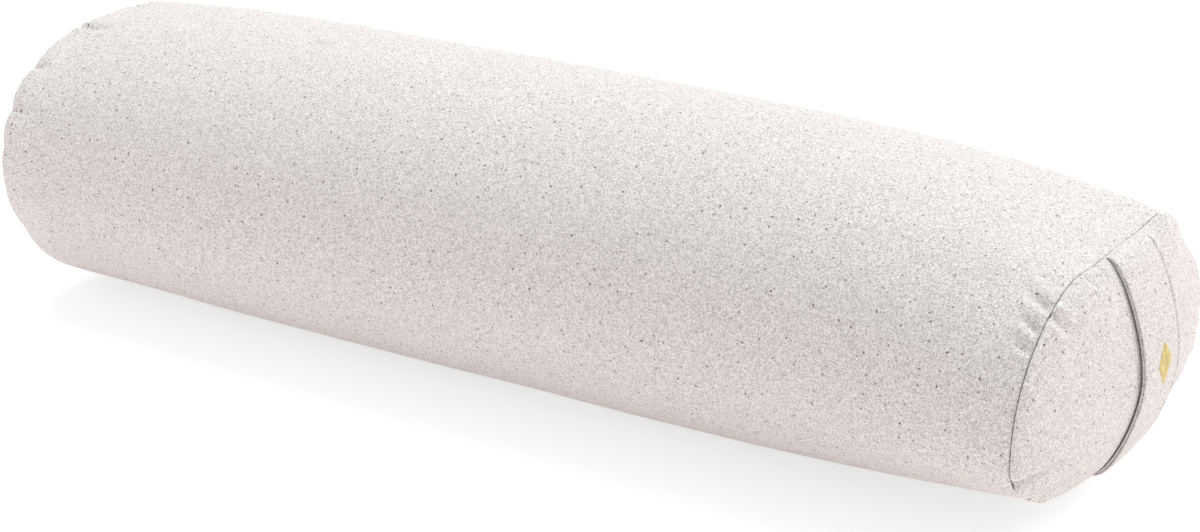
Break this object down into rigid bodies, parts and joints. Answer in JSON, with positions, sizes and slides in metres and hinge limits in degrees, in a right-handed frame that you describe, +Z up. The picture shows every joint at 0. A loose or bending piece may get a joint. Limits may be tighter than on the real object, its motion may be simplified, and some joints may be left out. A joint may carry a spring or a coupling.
{
  "type": "yoga bolster",
  "caption": "Long round stuffed bolster with a zipped natural canvas cover, flat end panels, a strap handle over one end, and a zipped inner bag of filling.",
  "frame": {"origin": "on the surface the bolster lies on, under the middle of its overall length and width", "axes": "+X along the bolster towards the end with the carry handle, +Z up, +Y towards the side with the cover's zip"},
  "size_m": [0.8246, 0.2728, 0.201],
  "materials": {
    "canvas": "plain-woven natural cotton canvas with small dark seed flecks, matt",
    "binding": "narrow cotton binding tape, matt",
    "thread": "golden embroidery thread, satin sheen",
    "lining": "thin plain cotton, matt",
    "husks": "loose dry husks, matt",
    "zip_tape": "woven zip tape, matt",
    "zip_coil": "nylon coil, slight sheen",
    "zip_metal": "plated zinc casting, dull sheen"
  },
  "bodies": {
    "bolster": {"cover_tube": "canvas", "cover_zip_bottom_stop": "zip_metal", "cover_zip_lower_coil": "zip_coil", "cover_zip_lower_stop": "zip_metal", "cover_zip_lower_tape": "zip_tape", "cover_zip_upper_coil": "zip_coil", "cover_zip_upper_stop": "zip_metal", "cover_zip_upper_tape": "zip_tape", "far_end_panel": "canvas", "far_seam_binding": "binding", "filling": "husks", "inner_bag_far_end": "lining", "inner_bag_near_end": "lining", "inner_bag_tube": "lining", "inner_zip_bottom_stop": "zip_metal", "inner_zip_lower_coil": "zip_coil", "inner_zip_lower_stop": "zip_metal", "inner_zip_lower_tape": "zip_tape", "inner_zip_upper_coil": "zip_coil", "inner_zip_upper_stop": "zip_metal", "inner_zip_upper_tape": "zip_tape", "near_end_panel": "canvas", "near_seam_binding": "binding"},
    "handle": {"carry_handle": "canvas", "handle_lozenge": "thread"},
    "cover_zip_slider": {"cover_zip_slider": "zip_metal"},
    "cover_zip_pull": {"cover_zip_pull": "zip_metal"},
    "inner_zip_slider": {"inner_zip_slider": "zip_metal"},
    "inner_zip_pull": {"inner_zip_pull": "zip_metal"}
  },
  "joints": [
    {"name": "handle_lift", "type": "slide", "parent": "bolster", "child": "handle", "axis": [1, 0, 0], "range_m": [0, 0.018], "stiffness_N_per_m": 200},
    {"name": "cover_zip_slide", "type": "slide", "parent": "bolster", "child": "cover_zip_slider", "axis": [-1, 0, 0], "range_m": [0, 0.48], "deforming": ["cover_zip_upper_coil", "cover_zip_lower_coil"]},
    {"name": "cover_zip_pull_swing", "type": "hinge", "parent": "cover_zip_slider", "child": "cover_zip_pull", "pos_m": [0.24585, 0.12635, 0.0989], "axis": [0, 0, -1], "range_deg": [0, 170]},
    {"name": "inner_zip_slide", "type": "slide", "parent": "bolster", "child": "inner_zip_slider", "axis": [-1, 0, 0], "range_m": [0, 0.23], "deforming": ["inner_zip_upper_coil", "inner_zip_lower_coil"]},
    {"name": "inner_zip_pull_swing", "type": "hinge", "parent": "inner_zip_slider", "child": "inner_zip_pull", "pos_m": [0.11735, -0.12005, 0.0989], "axis": [0, 0, 1], "range_deg": [0, 4]}
  ]
}
